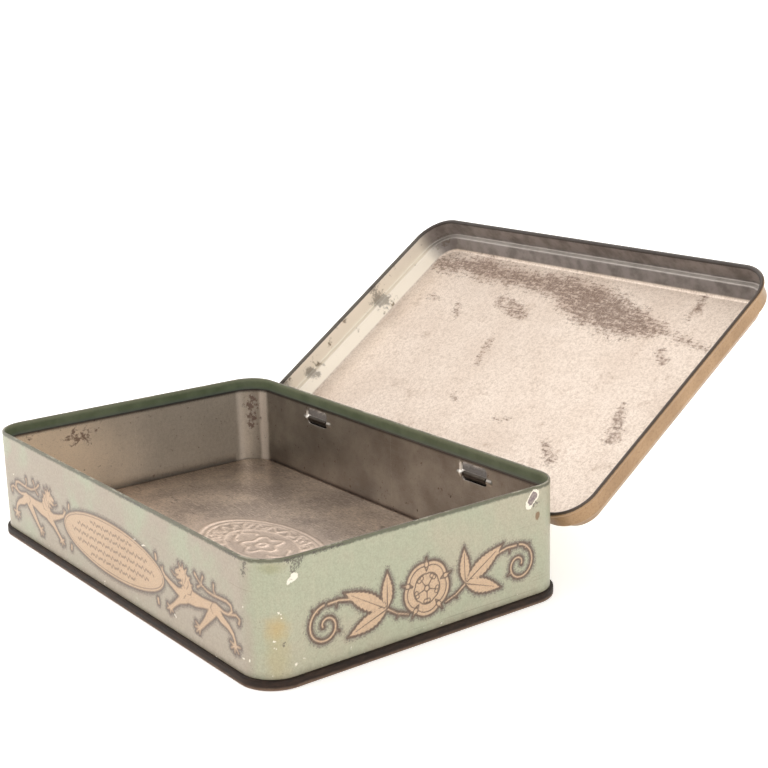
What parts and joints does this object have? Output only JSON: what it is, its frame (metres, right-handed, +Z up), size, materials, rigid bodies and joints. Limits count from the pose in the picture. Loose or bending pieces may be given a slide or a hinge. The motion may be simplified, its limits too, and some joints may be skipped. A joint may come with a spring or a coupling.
{
  "type": "hinged tin box",
  "caption": "Rectangular hinged sheet-metal biscuit tin with rounded corners, a seamed base, a folded rim and a shallow raised lid standing open on wire-pin hinges.",
  "frame": {"origin": "centre of the tin's foot, on the surface that it stands on", "axes": "+X along the long walls, +Y from the front wall to the hinge wall, +Z up out of the open tin"},
  "size_m": [0.155, 0.1789, 0.0775],
  "materials": {
    "printed_wall": "worn satin lithographed print over tinplate",
    "base_tinplate": "dull aged tinplate",
    "printed_lid": "worn satin gold lacquer over tinplate",
    "hinge_strip": "dull aged tinplate",
    "hinge_wire": "dull aged wire"
  },
  "bodies": {
    "tin_body": {"body_wall": "printed_wall", "base_panel": "base_tinplate", "hinge_pin_left": "hinge_wire", "hinge_pin_right": "hinge_wire"},
    "lid": {"lid_shell": "printed_lid", "hinge_lug_left": "hinge_strip", "hinge_lug_right": "hinge_strip"}
  },
  "joints": [
    {"name": "lid_hinge", "type": "hinge", "parent": "tin_body", "child": "lid", "pos_m": [0, 0.0475, 0.02365], "axis": [-1, 0, 0], "range_deg": [-144.6, 0]}
  ]
}
